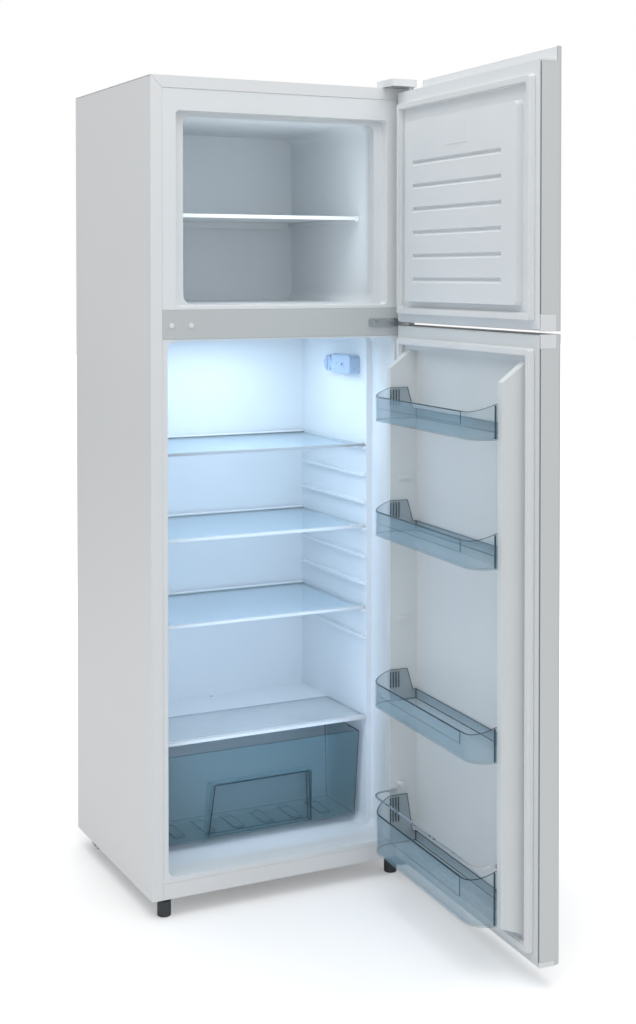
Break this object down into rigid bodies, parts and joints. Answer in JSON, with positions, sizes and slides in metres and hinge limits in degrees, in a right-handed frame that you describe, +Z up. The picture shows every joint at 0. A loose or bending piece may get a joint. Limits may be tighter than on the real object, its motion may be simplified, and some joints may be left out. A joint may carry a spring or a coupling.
{
  "type": "top freezer refrigerator",
  "caption": "Freestanding cabinet with a freezer compartment over a fresh food compartment, each with its own hinged door, shelves, door bins and a drawer.",
  "frame": {"origin": "on the floor under the middle of the outline, doors as stored (open)", "axes": "+Z up; the front looks along -Y; the doors hang on the +X side"},
  "size_m": [0.559, 1.0376, 1.5943],
  "materials": {
    "white_paint": "white enamel",
    "white_plastic": "white, semi-gloss",
    "liner_plastic": "white, vacuum formed",
    "clear_plastic": "clear, blue-grey",
    "shelf_glass": "clear toughened",
    "foam": "rigid insulation foam",
    "zinc": "zinc plated",
    "galvanised": "galvanised",
    "black_steel": "black enamel",
    "black_plastic": "black",
    "grey_plastic": "dark grey",
    "copper": "copper tube",
    "aluminium": "rolled",
    "seal": "white soft seal"
  },
  "bodies": {
    "cabinet": {"left_side_panel": "white_paint", "right_side_panel": "white_paint", "top_panel": "white_paint", "back_panel": "galvanised", "base_pan": "white_paint", "cabinet_foam": "foam", "freezer_liner": "liner_plastic", "fridge_liner": "liner_plastic", "centre_crossbar": "white_paint", "hinge_hole_plug_1": "white_plastic", "hinge_hole_plug_2": "white_plastic", "top_hinge": "zinc", "top_hinge_cover": "white_plastic", "middle_hinge": "zinc", "middle_hinge_screw_1": "zinc", "middle_hinge_screw_2": "zinc", "bottom_hinge": "zinc", "compressor_rail": "galvanised", "compressor": "black_steel", "relay_cover": "black_plastic", "drip_tray": "black_plastic", "drain_tube": "grey_plastic", "filter_drier": "copper", "condenser_coil": "black_steel", "evaporator_plate": "aluminium", "cord_gland": "black_plastic", "thermostat_housing": "white_plastic", "lamp_bulb": "shelf_glass", "crisper_cover_glass": "shelf_glass", "crisper_cover_trim": "white_plastic"},
    "freezer_door": {"freezer_door_skin": "white_paint", "freezer_door_foam": "foam", "freezer_door_liner": "liner_plastic", "freezer_door_gasket": "seal", "freezer_door_top_cap": "white_plastic", "freezer_door_bottom_cap": "white_plastic"},
    "fridge_door": {"fridge_door_skin": "white_paint", "fridge_door_foam": "foam", "fridge_door_liner": "liner_plastic", "fridge_door_gasket": "seal", "fridge_door_top_cap": "white_plastic", "fridge_door_bottom_cap": "white_plastic", "bottle_rail": "zinc"},
    "freezer_shelf": {"freezer_shelf": "white_plastic"},
    "shelf_1": {"shelf_glass_1": "shelf_glass", "shelf_frame_1": "white_plastic"},
    "shelf_2": {"shelf_glass_2": "shelf_glass", "shelf_frame_2": "white_plastic"},
    "shelf_3": {"shelf_glass_3": "shelf_glass", "shelf_frame_3": "white_plastic"},
    "crisper": {"crisper_drawer": "clear_plastic"},
    "knob": {"thermostat_knob": "clear_plastic"},
    "bin_1": {"door_bin_1": "clear_plastic"},
    "bin_2": {"door_bin_2": "clear_plastic"},
    "bin_3": {"door_bin_3": "clear_plastic"},
    "bin_4": {"door_bin_4": "clear_plastic"},
    "foot_left": {"levelling_foot_left": "grey_plastic"},
    "foot_right": {"levelling_foot_right": "grey_plastic"},
    "roller_left": {"rear_roller_left": "grey_plastic"},
    "roller_right": {"rear_roller_right": "grey_plastic"}
  },
  "joints": [
    {"name": "freezer_door_swing", "type": "hinge", "parent": "cabinet", "child": "freezer_door", "pos_m": [0.25448, 0.01508, 1.33], "axis": [0, 0, 1], "range_deg": [-86.3, 45]},
    {"name": "fridge_door_swing", "type": "hinge", "parent": "cabinet", "child": "fridge_door", "pos_m": [0.25448, 0.01508, 0.57], "axis": [0, 0, 1], "range_deg": [-86.3, 45]},
    {"name": "freezer_shelf_slide", "type": "slide", "parent": "cabinet", "child": "freezer_shelf", "axis": [0, -1, 0], "range_m": [0, 0.12]},
    {"name": "shelf_1_slide", "type": "slide", "parent": "cabinet", "child": "shelf_1", "axis": [0, -1, 0], "range_m": [0, 0.12]},
    {"name": "shelf_2_slide", "type": "slide", "parent": "cabinet", "child": "shelf_2", "axis": [0, -1, 0], "range_m": [0, 0.12]},
    {"name": "shelf_3_slide", "type": "slide", "parent": "cabinet", "child": "shelf_3", "axis": [0, -1, 0], "range_m": [0, 0.12]},
    {"name": "crisper_slide", "type": "slide", "parent": "cabinet", "child": "crisper", "axis": [0, -1, 0], "range_m": [0, 0.14]},
    {"name": "thermostat_turn", "type": "hinge", "parent": "cabinet", "child": "knob", "pos_m": [0.20448, 0.26768, 1.023], "axis": [1, 0, 0], "range_deg": [0, 270]},
    {"name": "bin_1_lift", "type": "slide", "parent": "fridge_door", "child": "bin_1", "axis": [0, 0, 1], "range_m": [0, 0.004]},
    {"name": "bin_2_lift", "type": "slide", "parent": "fridge_door", "child": "bin_2", "axis": [0, 0, 1], "range_m": [0, 0.02]},
    {"name": "bin_3_lift", "type": "slide", "parent": "fridge_door", "child": "bin_3", "axis": [0, 0, 1], "range_m": [0, 0.02]},
    {"name": "bin_4_lift", "type": "slide", "parent": "fridge_door", "child": "bin_4", "axis": [0, 0, 1], "range_m": [0, 0.02]},
    {"name": "foot_left_screw", "type": "slide", "parent": "cabinet", "child": "foot_left", "axis": [0, 0, -1], "range_m": [0, 0.01]},
    {"name": "foot_right_screw", "type": "slide", "parent": "cabinet", "child": "foot_right", "axis": [0, 0, -1], "range_m": [0, 0.01]},
    {"name": "roller_left_spin", "type": "hinge", "parent": "cabinet", "child": "roller_left", "pos_m": [-0.24352, 0.47068, 0.012], "axis": [1, 0, 0], "continuous": true},
    {"name": "roller_right_spin", "type": "hinge", "parent": "cabinet", "child": "roller_right", "pos_m": [0.23448, 0.47068, 0.012], "axis": [1, 0, 0], "continuous": true}
  ]
}
